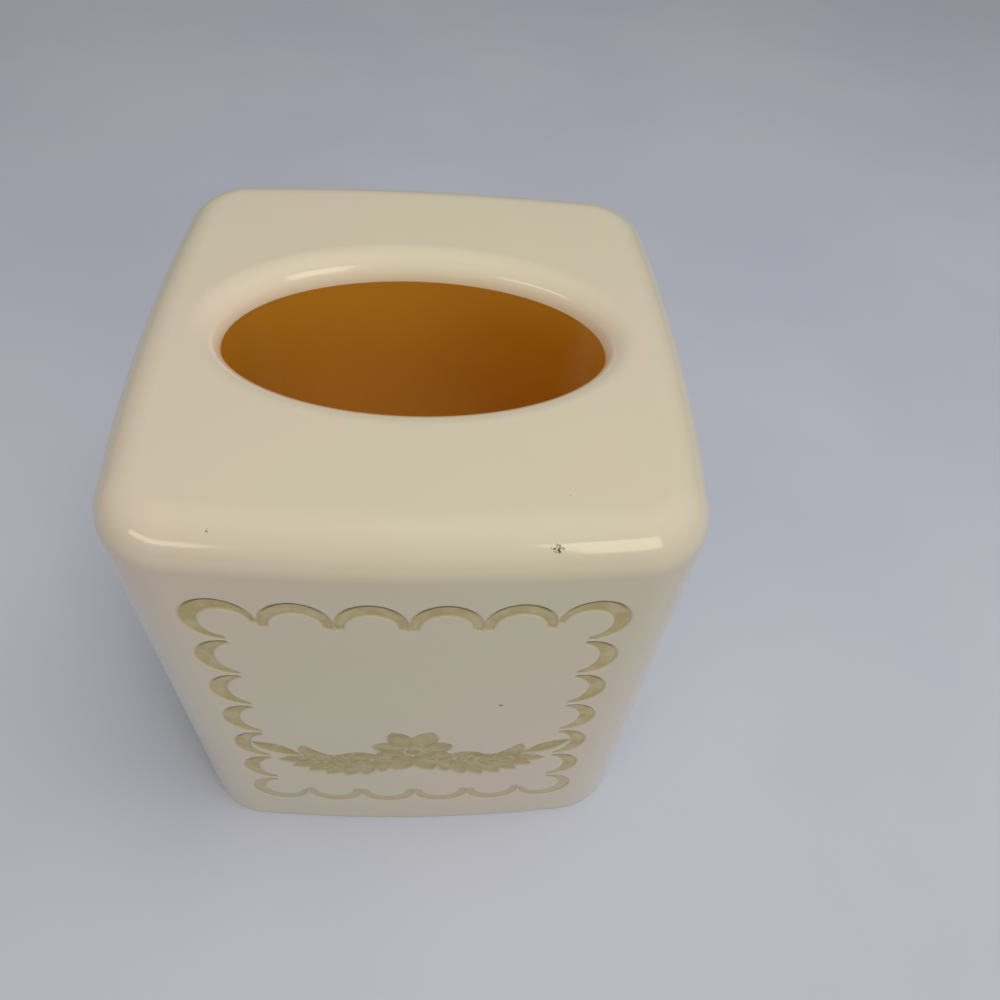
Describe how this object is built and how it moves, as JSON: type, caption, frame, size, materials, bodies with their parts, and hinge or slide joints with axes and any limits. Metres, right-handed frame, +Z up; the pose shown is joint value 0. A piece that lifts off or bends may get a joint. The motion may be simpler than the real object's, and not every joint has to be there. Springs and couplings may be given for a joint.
{
  "type": "tissue box cover",
  "caption": "Square ivory plastic cover for an upright tissue carton, with a lipped oval mouth and a gilt scalloped frame and leaf garland on its front; it lifts off a loose base.",
  "frame": {"origin": "centre of the foot, on the surface that the cover and its base stand on", "axes": "+Z up through the oval mouth, -Y out of the ornamented front, +X to the right of someone facing the front"},
  "size_m": [0.135, 0.135, 0.144],
  "materials": {
    "ivory_plastic": "glossy ivory moulding, slightly yellowed",
    "gilt": "thin olive-gold wash in the grooves"
  },
  "bodies": {
    "base": {"base_plate": "ivory_plastic"},
    "cover": {"cover_shell": "ivory_plastic", "gilt_scallops_top": "gilt", "gilt_scallops_bottom": "gilt", "gilt_scallops_left": "gilt", "gilt_scallops_right": "gilt", "gilt_corner_lobes": "gilt", "gilt_flower": "gilt", "gilt_garland_left": "gilt", "gilt_garland_right": "gilt"}
  },
  "joints": [
    {"name": "cover_lift", "type": "slide", "parent": "base", "child": "cover", "axis": [0, 0, 1], "range_m": [0, 0.15]}
  ]
}
